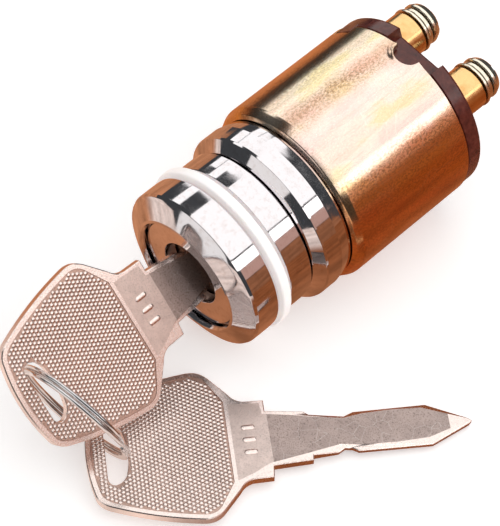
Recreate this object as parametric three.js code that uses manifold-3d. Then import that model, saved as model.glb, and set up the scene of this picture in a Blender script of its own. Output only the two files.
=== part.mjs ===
// Selector key switch with two keys on a split ring, lying on its side.
// Millimetres, +Z up. The switch's own axis runs along +Y, from the key side to the terminals, and
// "station" means a distance along that axis, measured from the front rim of the bezel nut.
import * as THREE from 'three';
import { mergeVertices } from 'three/addons/utils/BufferGeometryUtils.js';
import Module from 'manifold-3d';

const wasm = await Module();
wasm.setup();

// ---------------------------------------------------------------- driving dimensions
const GAP = 0.3;                  // clearance between neighbouring pieces
const SIDES = 36;                 // facets of the big turned pieces
const INNER_SIDES = 24;           // facets of the plug and what works round it
const SMALL_SIDES = 18;           // facets of the terminals and their hardware
const CAN_RADIUS = 16;
const CAN_WALL = 0.8;
const BEZEL_RADIUS = 14.1;
const WASHER_RADIUS = 14.65;
const NUT_RADIUS = 13.7;
const FLANGE_RADIUS = 15.15;
const VALLEY_RADIUS = 14.6;       // foot of the flange, where the can begins
const THREAD_RADIUS = 10.6;       // outside of the threaded barrel
const SLEEVE_RADIUS = 12.9;       // the barrel's sleeve, which the can's front lip fits round
const KEY_HOLE_RADIUS = 5.6;      // round mouth in the barrel's front face
const BORE_RADIUS = 6.6;          // barrel bore round the key plug
const PLUG_RADIUS = BORE_RADIUS - GAP;

const S = {                       // stations along the switch axis
  bezelEdge: 2.25, bezelRear: 6.85,
  barrelFace: 1.05, plugFace: 3.6,
  washerFront: 7.15, washerRear: 8.75,
  nutRear: 14.35,
  flangeFront: 14.65, flangeEdge: 16.1, flangeBandRear: 19.4, flangeFoot: 21.6,
  canFront: 21.9, canRear: 47.0,
  barrelRear: 26.3, plugRear: 27.6, tangRear: 31.4,
  detentFront: 27.8, detentRear: 28.6,
  rotorFront: 29.1, rotorRear: 39.2,
  bridgeFront: 40.6, bridgeRear: 41.5,
  contactFront: 41.8, contactRear: 42.6,
  baseFront: 42.9, baseRear: 50.2, bossRear: 50.7,
  postFront: 50.5,
};

const KEY_ANGLE = THREE.MathUtils.degToRad(133.6);      // the key's width direction, from +X towards +Z
const TERMINAL_CIRCLE = 9.5;
const TERMINALS = [               // degrees from +X towards +Z, and the station where each post ends
  { degrees: 36, postRear: 55.5 },
  { degrees: 126, postRear: 55.5 },
  { degrees: 240, postRear: 53.7 },
];
const POST_RADIUS = 3.8;
const POST_SHANK = 1.8;
const COLLAR_RADIUS = 15.8;
const BOSS_RADIUS = 4.6;

const WAFER_COUNT = 5;
const WAFER_FIRST = 7.4;          // station of the first wafer's middle
const WAFER_PITCH = 3.6;
const WAFER_THICK = 1.0;
const WAFER_TRAVEL = 0.8;

const BALL_RADIUS = 1.35;
const BALL_CIRCLE = 11.3;
const CONTACT_SPRING_CIRCLE = 7.4;
const BALL_STATION = S.detentRear + 0.15 + BALL_RADIUS;

const KEY_THICK = 1.6;
const KEY_TIP = 31.8;             // blade tip, measured from the shoulder
const KEY_SHOULDER = -5.28;       // station of the shoulder between neck and blade of the key in the lock

const RING_RADIUS = 9.95;         // centre line of the ring's wire
const RING_WIRE = { axial: 0.74, radial: 1.1 };
const RING_PITCH = 0.8;           // one coil beside the other
const RING_CENTRE = new THREE.Vector3(3.65, -26.26, 10.35);
const RING_NORMAL = new THREE.Vector3(-0.1, 0.965, 0.241).normalize();

const SPARE_SHOULDER = new THREE.Vector3(23.9, -5.35, 0);
const SPARE_HEADING = THREE.MathUtils.degToRad(53.2);   // blade direction on the table, from +X
const SPARE_TILT = THREE.MathUtils.degToRad(2.15);      // the bow rests on the ring, the tip on the table
const SPARE_TIP_LIFT = 0.05;

// ---------------------------------------------------------------- materials
const metal = (color, roughness) => new THREE.MeshStandardMaterial({ color, roughness, metalness: 1 });
const plastic = (color, roughness) => new THREE.MeshStandardMaterial({ color, roughness, metalness: 0 });
const MATERIAL = {
  chrome: metal(0xd8d8dc, 0.12),
  nickel: metal(0xcfc6c2, 0.25),
  brass: metal(0xd8ab52, 0.22),
  zinc: metal(0xd9bd86, 0.35),
  steel: metal(0x9a9a9e, 0.35),
  spring: metal(0x77787c, 0.3),
  nylon: plastic(0xf2ebe8, 0.45),
  bakelite: plastic(0x3d1c19, 0.4),
  rotor: plastic(0xe4ddcf, 0.5),
};

// ---------------------------------------------------------------- solid helpers
function toSolid(geometry) {
  const bare = geometry.clone();
  bare.deleteAttribute('normal');
  bare.deleteAttribute('uv');
  const merged = mergeVertices(bare.index ? bare.toNonIndexed() : bare, 1e-5);
  const vertProperties = Float32Array.from(merged.attributes.position.array);
  const triVerts = Uint32Array.from(merged.index.array);
  return new wasm.Manifold(new wasm.Mesh({ numProp: 3, vertProperties, triVerts }));
}

function toGeometry(solid) {
  const mesh = solid.getMesh();
  const geometry = new THREE.BufferGeometry();
  geometry.setAttribute('position', new THREE.BufferAttribute(Float32Array.from(mesh.vertProperties), 3));
  geometry.setIndex(new THREE.BufferAttribute(Uint32Array.from(mesh.triVerts), 1));
  return geometry;
}

// A closed outline of [radius, station] pairs, turned round the switch axis. A facet, not a corner,
// faces straight down, so that the can has a flat to lie on.
function turned(outline, sides = SIDES) {
  const area = outline.reduce((sum, [r, s], i) => {
    const [nextR, nextS] = outline[(i + 1) % outline.length];
    return sum + r * nextS - nextR * s;
  }, 0);
  const ordered = area > 0 ? [...outline] : [...outline].reverse();
  const points = ordered.map(([r, s]) => new THREE.Vector2(r, s));
  const onAxis = outline.filter(([r]) => r === 0).length > 0;
  if (onAxis) {
    while (!(points[0].x === 0 && points[points.length - 1].x === 0)) {
      points.push(points.shift());
    }
  } else {
    points.push(points[0].clone());
  }
  return toSolid(new THREE.LatheGeometry(points, sides, Math.PI / sides));
}

// A plain round bar or disc between two stations, moved off the switch axis by x and z.
function bar(radius, from, to, x = 0, z = 0, sides = 16) {
  return turned([[0, from], [radius, from], [radius, to], [0, to]], sides).translate([x, 0, z]);
}

// A box between two stations: x0..x1 across, z0..z1 up.
function block(x0, x1, from, to, z0, z1) {
  const geometry = new THREE.BoxGeometry(x1 - x0, to - from, z1 - z0);
  geometry.translate((x0 + x1) / 2, (from + to) / 2, (z0 + z1) / 2);
  return toSolid(geometry);
}

// A round wire swept along a curve. A full circle gets two corners for each curve segment.
function wire(curve, steps, radius, sides) {
  const section = new THREE.Shape();
  section.absarc(0, 0, radius, 0, Math.PI * 2);
  return toSolid(new THREE.ExtrudeGeometry(section, { steps, extrudePath: curve, curveSegments: sides / 2 }));
}

// A coil spring's centre line, round an axis along +Y.
class Coil extends THREE.Curve {
  constructor(radius, from, to, turns) {
    super();
    Object.assign(this, { radius, from, to, turns });
  }

  getPoint(t, target = new THREE.Vector3()) {
    const angle = t * this.turns * Math.PI * 2;
    const station = THREE.MathUtils.lerp(this.from, this.to, t);
    return target.set(this.radius * Math.cos(angle), station, this.radius * Math.sin(angle));
  }
}

function coilSpring(radius, wireRadius, from, to, turns, stepsPerTurn = 8, sides = 6) {
  const curve = new Coil(radius, from + wireRadius * 1.2, to - wireRadius * 1.2, turns);
  return wire(curve, Math.round(turns * stepsPerTurn), wireRadius, sides);
}

const polar = (radius, angle) => [radius * Math.cos(angle), radius * Math.sin(angle)];

// ---------------------------------------------------------------- front stack
function bezelNut() {
  return turned([
    [9.75, S.barrelFace - GAP], [9.75, 0.4], [10.1, 0.0], [10.5, 0.03], [13.2, 1.35], [13.85, 1.75],
    [BEZEL_RADIUS, S.bezelEdge], [BEZEL_RADIUS, S.bezelRear - 0.35], [BEZEL_RADIUS - 0.35, S.bezelRear],
    [THREAD_RADIUS + GAP, S.bezelRear], [THREAD_RADIUS + GAP, S.barrelFace - GAP],
  ]);
}

function panelWasher() {
  return turned([
    [THREAD_RADIUS + GAP, S.washerFront], [WASHER_RADIUS - 0.3, S.washerFront],
    [WASHER_RADIUS, S.washerFront + 0.3], [WASHER_RADIUS, S.washerRear - 0.2],
    [WASHER_RADIUS - 0.2, S.washerRear], [THREAD_RADIUS + GAP, S.washerRear],
  ]);
}

function backNut() {
  const front = S.washerRear + GAP;
  return turned([
    [THREAD_RADIUS + GAP, front], [NUT_RADIUS - 0.7, front], [NUT_RADIUS, front + 0.7],
    [NUT_RADIUS, S.nutRear - 0.35], [NUT_RADIUS - 0.35, S.nutRear], [THREAD_RADIUS + GAP, S.nutRear],
  ]);
}

// The die-cast barrel: threaded nose, panel flange and the sleeve that the can is closed over. Its bore
// widens to a race where the wafers stand out when the key is away, and a pocket at the rear takes the
// return spring.
function lockBarrel() {
  const waferRace = { radius: 7.8, from: 5.6, to: 24.6 };
  const springPocket = { inner: 9.3, outer: 12.1, from: 21.0 };
  return turned([
    [KEY_HOLE_RADIUS, S.barrelFace], [9.55, S.barrelFace], [10.3, S.barrelFace + 0.5],
    [THREAD_RADIUS, S.barrelFace + 1.0], [THREAD_RADIUS, S.flangeFront], [13.2, S.flangeFront],
    [FLANGE_RADIUS - 0.1, S.flangeEdge - 0.1], [FLANGE_RADIUS, S.flangeEdge + 0.2],
    [FLANGE_RADIUS, S.flangeBandRear], [15.0, S.flangeBandRear + 0.5], [14.75, S.flangeFoot - 0.6],
    [VALLEY_RADIUS, S.flangeFoot], [SLEEVE_RADIUS, S.flangeFoot], [SLEEVE_RADIUS, S.barrelRear],
    [springPocket.outer, S.barrelRear], [springPocket.outer, springPocket.from],
    [springPocket.inner, springPocket.from], [springPocket.inner, S.barrelRear],
    [BORE_RADIUS, S.barrelRear], [BORE_RADIUS, waferRace.to], [waferRace.radius, waferRace.to],
    [waferRace.radius, waferRace.from], [BORE_RADIUS, waferRace.from],
    [BORE_RADIUS, S.plugFace - GAP], [KEY_HOLE_RADIUS, S.plugFace - GAP],
  ]);
}

// ---------------------------------------------------------------- can and terminal base
function switchCan() {
  const inner = CAN_RADIUS - CAN_WALL;
  const lip = SLEEVE_RADIUS + GAP;
  const can = turned([
    [lip, S.canFront], [VALLEY_RADIUS + 0.1, S.canFront], [15.5, S.canFront + 0.45],
    [CAN_RADIUS, S.canFront + 1.3], [CAN_RADIUS, S.canRear], [inner, S.canRear],
    [inner, S.canFront + CAN_WALL + 0.5], [lip, S.canFront + CAN_WALL],
  ]);
  const moon = { degrees: 84, radius: 2.3 };
  const [moonX, moonZ] = polar(CAN_RADIUS, THREE.MathUtils.degToRad(moon.degrees));
  const halfMoon = bar(moon.radius, -4, 4)
    .rotate([90, 0, 0]).rotate([0, 90 - moon.degrees, 0]).translate([moonX, S.canRear, moonZ]);
  const tab = { degrees: 134.5, half: 2.2, depth: 1.85 };
  const [tabX, tabZ] = polar(CAN_RADIUS, THREE.MathUtils.degToRad(tab.degrees));
  const keyTab = block(-tab.half, tab.half, S.canRear - tab.depth, S.canRear + 1, -3, 3)
    .rotate([0, 90 - tab.degrees, 0]).translate([tabX, 0, tabZ]);
  return can.subtract(halfMoon).subtract(keyTab);
}

function terminalBase() {
  const insideCan = CAN_RADIUS - CAN_WALL - GAP;
  let base = turned([
    [0, S.baseFront], [insideCan, S.baseFront], [insideCan, S.canRear + GAP],
    [COLLAR_RADIUS, S.canRear + GAP], [COLLAR_RADIUS, S.baseRear - 0.4], [COLLAR_RADIUS - 0.4, S.baseRear],
    [BOSS_RADIUS, S.baseRear], [BOSS_RADIUS, S.bossRear], [0, S.bossRear],
  ]);
  const flats = [[84, 13.2, 4.0], [-96, 13.2, 4.0]];
  for (const [degrees, reach, half] of flats) {
    const cut = block(reach, reach + 4, S.canRear + 0.25, S.baseRear + 1, -half, half);
    base = base.subtract(cut.rotate([0, -degrees, 0]));
  }
  for (const { degrees } of TERMINALS) {
    const [x, z] = polar(TERMINAL_CIRCLE, THREE.MathUtils.degToRad(degrees));
    base = base.subtract(bar(POST_SHANK + GAP, S.baseFront - 1, S.bossRear + 1, x, z));
  }
  return base;
}

// One brass post, turned in one piece with its rivet shank and its fixed contact inside the switch.
function terminalPost(rear) {
  const head = 2.6;
  const socket = { radius: 1.7, floor: S.postFront + 0.8 };
  return turned([
    [0, S.contactFront], [head, S.contactFront], [head, S.contactRear], [POST_SHANK, S.contactRear],
    [POST_SHANK, S.postFront], [POST_RADIUS, S.postFront], [POST_RADIUS, rear - 0.15],
    [POST_RADIUS - 0.15, rear], [socket.radius, rear], [socket.radius, socket.floor], [0, socket.floor],
  ], SMALL_SIDES);
}

const WASHER_BORE = 1.75;
const FLAT_WASHER = { radius: 3.95, thick: 0.55 };
const LOCK_WASHER = { radius: 3.55, thick: 0.7 };

function flatWasher(postRear) {
  const front = postRear + GAP;
  const rear = front + FLAT_WASHER.thick;
  const { radius } = FLAT_WASHER;
  return turned([[WASHER_BORE, front], [radius, front], [radius, rear], [WASHER_BORE, rear]], SMALL_SIDES);
}

// A split spring washer: a flat ring with one radial cut.
function lockWasher(postRear) {
  const front = postRear + GAP * 2 + FLAT_WASHER.thick;
  const rear = front + LOCK_WASHER.thick;
  const { radius } = LOCK_WASHER;
  const ring = turned([[WASHER_BORE, front], [radius, front], [radius, rear], [WASHER_BORE, rear]], SMALL_SIDES);
  return ring.subtract(block(0, 5, front - 1, rear + 1, -0.2, 0.2));
}

function terminalScrew(postRear) {
  const under = postRear + GAP * 3 + FLAT_WASHER.thick + LOCK_WASHER.thick;
  const top = under + 2.35;
  const screw = turned([
    [0, S.postFront + 1.1], [1.4, S.postFront + 1.1], [1.4, under], [3.6, under], [3.65, under + 0.5],
    [3.35, under + 1.3], [2.5, top - 0.2], [1.4, top], [0, top],
  ], SMALL_SIDES);
  return screw.subtract(block(-0.4, 0.4, top - 0.9, top + 1, -5, 5));
}

// ---------------------------------------------------------------- lock work, drawn with the key upright
const waferStation = (i) => WAFER_FIRST + i * WAFER_PITCH;
const waferSide = (i) => (i % 2 === 0 ? 1 : -1);        // wafers stand out on alternate sides

// Turns a piece made for the +Z side of the plug to the side where wafer i works.
const toWaferSide = (solid, i) => (waferSide(i) > 0 ? solid : solid.rotate([0, 180, 0]));

function keyPlug() {
  const clipGroove = { radius: 5.3, from: 26.45, to: 27.35 };
  let plug = turned([
    [0, S.plugFace], [PLUG_RADIUS - 0.4, S.plugFace], [PLUG_RADIUS, S.plugFace + 0.4],
    [PLUG_RADIUS, clipGroove.from], [clipGroove.radius, clipGroove.from],
    [clipGroove.radius, clipGroove.to], [PLUG_RADIUS, clipGroove.to], [PLUG_RADIUS, S.plugRear],
    [0, S.plugRear],
  ], INNER_SIDES);
  plug = plug.add(block(-2, 2, S.plugRear - 0.5, S.tangRear, -4, 4));
  const slit = KEY_THICK / 2 + GAP;
  const keyway = block(-slit, slit, S.plugFace - 1, S.plugRear + 0.6, -3.95, 3.95);
  plug = plug.subtract(keyway);
  const half = WAFER_THICK / 2 + GAP;
  for (let i = 0; i < WAFER_COUNT; i += 1) {
    const at = waferStation(i);
    const channel = block(-2.8, 2.8, at - half, at + half, -8, 8);
    const springWell = block(2.7, 4.9, at - half, at + half, -3.5, 8);
    plug = plug.subtract(channel).subtract(toWaferSide(springWell, i));
  }
  return plug;
}

// A flat tumbler with a window for the blade and a lug that its spring pushes on.
function wafer(i) {
  const at = waferStation(i);
  const from = at - WAFER_THICK / 2;
  const to = at + WAFER_THICK / 2;
  let plate = bar(5.9, from, to, 0, 0, INNER_SIDES).intersect(block(-2.5, 2.5, from - 1, to + 1, -7, 7));
  plate = plate.add(block(2.2, 4.4, from, to, 0.9, 1.9));
  plate = plate.subtract(block(-1.2, 1.2, from - 1, to + 1, -4.75, 4.75));
  return toWaferSide(plate, i);
}

function waferSpring(i) {
  const spring = coilSpring(0.42, 0.13, -3.3, 0.7, 4, 6, 4);
  const upright = spring.rotate([90, 0, 0]).translate([3.6, waferStation(i), 0]);
  return toWaferSide(upright, i);
}

// A C-shaped clip in the plug's rear groove, which stops the plug from coming out of the barrel.
function plugClip() {
  const ring = turned([[5.55, 26.65], [8.2, 26.65], [8.2, 27.15], [5.55, 27.15]], INNER_SIDES);
  return ring.subtract(block(-4.4, 4.4, 26, 28, 0, 10));
}

function returnSpring() {
  return coilSpring(10.7, 0.45, 21.4, 26.9, 4, 14, 6);
}

function detentPlate() {
  let plate = turned([
    [8.6, S.detentFront], [CAN_RADIUS - CAN_WALL - GAP, S.detentFront],
    [CAN_RADIUS - CAN_WALL - GAP, S.detentRear], [8.6, S.detentRear],
  ]);
  for (const degrees of [0, 40, 80, 180, 220, 260]) {
    const [x, z] = polar(BALL_CIRCLE, THREE.MathUtils.degToRad(degrees));
    plate = plate.subtract(bar(1.0, S.detentFront - 1, S.detentRear + 1, x, z, 10));
  }
  return plate;
}

// The moulded rotor that the plug's tang drives. Pockets in its front carry the detent balls and their
// springs, and pockets in its rear carry the springs behind the contact bridge.
function rotor() {
  let body = turned([
    [0, S.rotorFront], [13.2, S.rotorFront], [13.6, S.rotorFront + 0.4], [13.6, S.rotorRear - 3],
    [12.2, S.rotorRear - 2.4], [12.2, S.rotorRear], [0, S.rotorRear],
  ]);
  body = body.subtract(block(-2 - GAP, 2 + GAP, S.rotorFront - 1, S.tangRear + GAP, -4 - GAP, 4 + GAP));
  for (const side of [1, -1]) {
    body = body.subtract(bar(BALL_RADIUS + 0.25, S.rotorFront - 1, S.rotorFront + 6.4, side * BALL_CIRCLE, 0));
  }
  for (let i = 0; i < 3; i += 1) {
    const [x, z] = polar(CONTACT_SPRING_CIRCLE, i * Math.PI * 2 / 3 + Math.PI / 2);
    body = body.subtract(bar(2.5, S.rotorRear - 4.2, S.rotorRear + 1, x, z));
  }
  return body;
}

function detentBall(side) {
  const ball = new THREE.SphereGeometry(BALL_RADIUS, 12, 8);
  ball.translate(side * BALL_CIRCLE, BALL_STATION, 0);
  return toSolid(ball);
}

function detentSpring(side) {
  const from = BALL_STATION + BALL_RADIUS + 0.05;
  return coilSpring(0.95, 0.2, from, S.rotorFront + 6.2, 3.5, 7, 4).translate([side * BALL_CIRCLE, 0, 0]);
}

// The copper bridge that joins the fixed contacts: a three-armed plate.
function contactBridge() {
  let plate = bar(7, S.bridgeFront, S.bridgeRear, 0, 0, INNER_SIDES);
  for (let i = 0; i < 3; i += 1) {
    const arm = block(-2.4, 2.4, S.bridgeFront, S.bridgeRear, 4, 12.6);
    plate = plate.add(arm.rotate([0, i * 120, 0]));
  }
  return plate;
}

function contactSpring(i) {
  const [x, z] = polar(CONTACT_SPRING_CIRCLE, i * Math.PI * 2 / 3 + Math.PI / 2);
  return coilSpring(1.8, 0.3, S.rotorRear - 4, S.bridgeFront - 0.1, 3.5, 8, 6).translate([x, 0, z]);
}

// ---------------------------------------------------------------- keys and ring
// The key's outline, length along X from the shoulder towards the tip, width along Y.
function keyOutline() {
  const shape = new THREE.Shape();
  shape.moveTo(0, 6.9);
  shape.lineTo(-3.2, 7.0);
  shape.quadraticCurveTo(-4.6, 7.3, -5.3, 8.5);
  shape.lineTo(-8.1, 11.8);
  shape.quadraticCurveTo(-9.4, 13.3, -11.4, 13.1);
  shape.quadraticCurveTo(-18.4, 12.2, -24.9, 9.6);
  shape.quadraticCurveTo(-26.8, 8.9, -27.3, 7.4);
  shape.quadraticCurveTo(-29.2, 0, -27.3, -7.4);
  shape.quadraticCurveTo(-26.8, -8.9, -24.9, -9.6);
  shape.quadraticCurveTo(-18.4, -12.2, -11.4, -13.1);
  shape.quadraticCurveTo(-9.4, -13.3, -8.1, -11.8);
  shape.lineTo(-5.3, -8.5);
  shape.quadraticCurveTo(-4.6, -7.3, -3.2, -7.0);
  for (const [x, y] of BLADE_EDGE) {
    shape.lineTo(x, y);
  }
  return shape;
}

// The blade's edge, from the neck round the tip: stop steps, guide notches and the pointed tip.
const BLADE_EDGE = [
  [0, -6.9], [0.2, -4.9], [6.4, -4.55], [6.5, -3.7], [10.4, -3.52], [11.5, -2.8], [12.7, -3.0],
  [13.6, -3.56], [25.1, -3.6], [31.3, -0.5], [31.8, 0], [31.3, 0.5], [25.0, 3.6], [13.6, 3.5],
  [12.1, 2.85], [6.7, 3.6], [5.9, 4.2], [0, 4.9],
];

// The long slot near the end of the bow: straight outside, bellied inside, with round ends.
function slotOutline() {
  const slot = new THREE.Path();
  slot.moveTo(-25.2, 3.6);
  slot.lineTo(-25.2, -4.4);
  slot.quadraticCurveTo(-25.1, -5.6, -24.1, -5.7);
  slot.quadraticCurveTo(-22.9, -5.5, -22.3, -4.2);
  slot.quadraticCurveTo(-21.2, -0.4, -22.3, 3.4);
  slot.quadraticCurveTo(-22.9, 4.7, -24.1, 4.9);
  slot.quadraticCurveTo(-25.1, 4.8, -25.2, 3.6);
  return slot;
}

function keySolid() {
  const shape = keyOutline();
  shape.holes.push(slotOutline());
  const options = { depth: KEY_THICK, bevelEnabled: false, curveSegments: 4 };
  const geometry = new THREE.ExtrudeGeometry(shape, options);
  return toSolid(geometry);
}

// Two flat coils of oval wire, side by side, which step over from one to the other on the way round.
class SplitRingCurve extends THREE.Curve {
  getPoint(t, target = new THREE.Vector3()) {
    const angle = t * Math.PI * 4;
    const along = THREE.MathUtils.lerp(-0.5, 0.5, THREE.MathUtils.smoothstep(t, 0.44, 0.56));
    return target.set(RING_RADIUS * Math.cos(angle), RING_RADIUS * Math.sin(angle), along * RING_PITCH);
  }
}

// The ring's section stands square to its plane all the way round, so it is built ring by ring.
function splitRing() {
  const curve = new SplitRingCurve();
  const rounds = 80;
  const corners = 6;
  const positions = [];
  const indices = [];
  for (let i = 0; i < rounds; i += 1) {
    const centre = curve.getPoint(i / (rounds - 1) * 0.985);
    const outward = new THREE.Vector3(centre.x, centre.y, 0).normalize();
    for (let j = 0; j < corners; j += 1) {
      const turn = (j + 0.5) / corners * Math.PI * 2;
      const point = outward.clone().multiplyScalar(Math.cos(turn) * RING_WIRE.radial / 2);
      point.z = Math.sin(turn) * RING_WIRE.axial / 2;
      positions.push(...point.add(centre).toArray());
    }
  }
  for (let i = 0; i < rounds - 1; i += 1) {
    for (let j = 0; j < corners; j += 1) {
      const a = i * corners + j;
      const b = i * corners + (j + 1) % corners;
      indices.push(a, a + corners, b, b, a + corners, b + corners);
    }
  }
  const last = (rounds - 1) * corners;
  for (let j = 1; j < corners - 1; j += 1) {
    indices.push(0, j, j + 1, last, last + j + 1, last + j);
  }
  const geometry = new THREE.BufferGeometry();
  geometry.setAttribute('position', new THREE.Float32BufferAttribute(positions, 3));
  geometry.setIndex(indices);
  return geometry;
}

// ---------------------------------------------------------------- assembly
function piece(parent, name, shape, material) {
  const geometry = shape.isBufferGeometry ? shape : toGeometry(shape);
  geometry.computeVertexNormals();
  const mesh = new THREE.Mesh(geometry, material);
  mesh.name = name;
  parent.add(mesh);
  return mesh;
}

function addSwitchBody(parent) {
  piece(parent, 'bezel_nut', bezelNut(), MATERIAL.chrome);
  piece(parent, 'lock_barrel', lockBarrel(), MATERIAL.chrome);
  piece(parent, 'panel_washer', panelWasher(), MATERIAL.nylon);
  piece(parent, 'back_nut', backNut(), MATERIAL.chrome);
  piece(parent, 'switch_can', switchCan(), MATERIAL.zinc);
  piece(parent, 'terminal_base', terminalBase(), MATERIAL.bakelite);
  piece(parent, 'detent_plate', detentPlate(), MATERIAL.steel);
  piece(parent, 'return_spring', returnSpring(), MATERIAL.spring);
  TERMINALS.forEach(({ degrees, postRear }, i) => {
    const [x, z] = polar(TERMINAL_CIRCLE, THREE.MathUtils.degToRad(degrees));
    const terminal = new THREE.Group();
    terminal.position.set(x, 0, z);
    terminal.rotation.y = 0.7 * i + 0.5;
    parent.add(terminal);
    piece(terminal, `terminal_post_${i + 1}`, terminalPost(postRear), MATERIAL.brass);
    piece(terminal, `terminal_washer_${i + 1}`, flatWasher(postRear), MATERIAL.brass);
    piece(terminal, `lock_washer_${i + 1}`, lockWasher(postRear), MATERIAL.steel);
    piece(terminal, `terminal_screw_${i + 1}`, terminalScrew(postRear), MATERIAL.nickel);
  });
}

function addLockWork(parent) {
  piece(parent, 'key_plug', keyPlug(), MATERIAL.brass);
  piece(parent, 'plug_clip', plugClip(), MATERIAL.spring);
  piece(parent, 'rotor', rotor(), MATERIAL.rotor);
  piece(parent, 'contact_bridge', contactBridge(), MATERIAL.brass);
  for (let i = 0; i < WAFER_COUNT; i += 1) {
    piece(parent, `wafer_${i + 1}`, wafer(i), MATERIAL.brass);
    piece(parent, `wafer_spring_${i + 1}`, waferSpring(i), MATERIAL.spring);
  }
  [1, -1].forEach((side, i) => {
    piece(parent, `detent_ball_${i + 1}`, detentBall(side), MATERIAL.steel);
    piece(parent, `detent_spring_${i + 1}`, detentSpring(side), MATERIAL.spring);
  });
  for (let i = 0; i < 3; i += 1) {
    piece(parent, `contact_spring_${i + 1}`, contactSpring(i), MATERIAL.spring);
  }
}

function buildAssembly() {
  const assembly = new THREE.Group();

  // The switch lies on the lowest facet of its can.
  const axisHeight = CAN_RADIUS * Math.cos(Math.PI / SIDES);
  const switchGroup = new THREE.Group();
  switchGroup.position.z = axisHeight;
  assembly.add(switchGroup);
  addSwitchBody(switchGroup);

  // Everything that follows the key is drawn with the key's width along Z, then turned to its angle.
  const keyed = new THREE.Group();
  keyed.rotation.y = Math.PI / 2 - KEY_ANGLE;
  switchGroup.add(keyed);
  addLockWork(keyed);

  // Key in the lock: outline X becomes the switch axis, outline Y the key's width.
  const lockKey = new THREE.Group();
  const lockBasis = new THREE.Matrix4().makeBasis(
    new THREE.Vector3(0, 1, 0), new THREE.Vector3(0, 0, 1), new THREE.Vector3(1, 0, 0));
  lockKey.quaternion.setFromRotationMatrix(lockBasis);
  lockKey.position.set(-KEY_THICK / 2, KEY_SHOULDER, 0);
  keyed.add(lockKey);
  piece(lockKey, 'key_1', keySolid(), MATERIAL.nickel);

  // Spare key: lies nearly flat, its tip on the table and its bow on the ring.
  const spare = new THREE.Group();
  const heading = new THREE.Quaternion().setFromAxisAngle(new THREE.Vector3(0, 0, 1), SPARE_HEADING);
  const pitch = new THREE.Quaternion().setFromAxisAngle(new THREE.Vector3(0, 1, 0), SPARE_TILT);
  spare.quaternion.copy(heading.multiply(pitch));
  spare.position.copy(SPARE_SHOULDER);
  spare.position.z = SPARE_TIP_LIFT + KEY_TIP * Math.sin(SPARE_TILT);
  assembly.add(spare);
  piece(spare, 'key_2', keySolid(), MATERIAL.nickel);

  const ring = piece(assembly, 'key_ring', splitRing(), MATERIAL.nickel);
  ring.quaternion.setFromUnitVectors(new THREE.Vector3(0, 0, 1), RING_NORMAL);
  ring.position.copy(RING_CENTRE);

  // The origin is the middle of the whole object's footprint.
  assembly.updateMatrixWorld(true);
  const box = new THREE.Box3().setFromObject(assembly, true);
  const middle = box.getCenter(new THREE.Vector3());
  assembly.position.set(-middle.x, -middle.y, -box.min.z);
  assembly.updateMatrixWorld(true);
  return assembly;
}

export default buildAssembly();
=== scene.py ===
"""Selector key switch with two keys on a split ring: the finished surfaces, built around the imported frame.

Lengths are in millimetres until a piece is placed, and "station" is the distance along the switch axis
from the bezel's front rim, as in the CAD. SWITCH turns (x, station, z) in millimetres into the frame.
"""
import math

import bmesh
import bpy
from mathutils import Matrix, Vector
from mathutils.geometry import tessellate_polygon


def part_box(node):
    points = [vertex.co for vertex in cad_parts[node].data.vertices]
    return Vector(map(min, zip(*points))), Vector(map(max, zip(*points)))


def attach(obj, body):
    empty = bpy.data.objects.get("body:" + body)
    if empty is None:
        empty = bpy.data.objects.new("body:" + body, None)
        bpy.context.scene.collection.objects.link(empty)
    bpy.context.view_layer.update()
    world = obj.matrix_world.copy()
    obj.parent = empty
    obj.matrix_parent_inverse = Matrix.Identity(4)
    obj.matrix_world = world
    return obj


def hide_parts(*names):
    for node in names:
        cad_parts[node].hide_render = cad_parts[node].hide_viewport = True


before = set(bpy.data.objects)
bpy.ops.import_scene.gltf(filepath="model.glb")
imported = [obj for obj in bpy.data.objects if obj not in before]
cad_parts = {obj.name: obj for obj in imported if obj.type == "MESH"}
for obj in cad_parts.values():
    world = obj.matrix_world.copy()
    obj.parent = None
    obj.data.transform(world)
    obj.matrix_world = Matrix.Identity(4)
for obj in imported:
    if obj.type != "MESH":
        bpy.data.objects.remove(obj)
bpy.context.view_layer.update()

# ------------ driving dimensions, mm
MM = 0.001
NOTHING = 1e-6
SIDES = 180                     # facets of a turned piece
CAN_SIDES = 216                 # facets of the can and the base, before those at their notches
EDGE = 0.12                     # rounding of a plain turned edge
SHARP_ANGLE = math.radians(32)  # an edge that turns by more than this stays sharp
CROWN = 0.02                    # how far the chrome nuts' bands drop towards their edges
FIT = 0.3                       # clearance between neighbours

CAN_RADIUS, CAN_WALL = 16.0, 0.8
BEZEL_RADIUS, WASHER_RADIUS, NUT_RADIUS, FLANGE_RADIUS = 14.1, 14.65, 13.7, 15.15
VALLEY_RADIUS, THREAD_RADIUS = 14.6, 10.6
KEY_HOLE_RADIUS, BORE_RADIUS = 5.6, 6.6
COLLAR_RADIUS = 15.8
SLEEVE_RADIUS = 12.9                                    # the barrel inside the can
POCKET_INNER, POCKET_OUTER, POCKET_FLOOR = 9.3, 12.1, 21.0     # the return spring's pocket in the barrel
RELIEF_RADIUS, RELIEF_FRONT, RELIEF_REAR = 7.8, 5.6, 24.6      # the wider middle of the barrel's bore
THREAD_PITCH, THREAD_DEPTH = 0.75, 0.35
CAN_MOUTH = 13.2                                        # the hole in the can's front
PAD_RADIUS, POST_HOLE = 4.4, 2.1                        # of the base, at each terminal
POST_RADIUS = 3.8
TERMINAL_CIRCLE = 9.5
TERMINALS = [(36, 55.5), (126, 55.5), (240, 53.7)]     # degrees, and where each post ends

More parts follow.
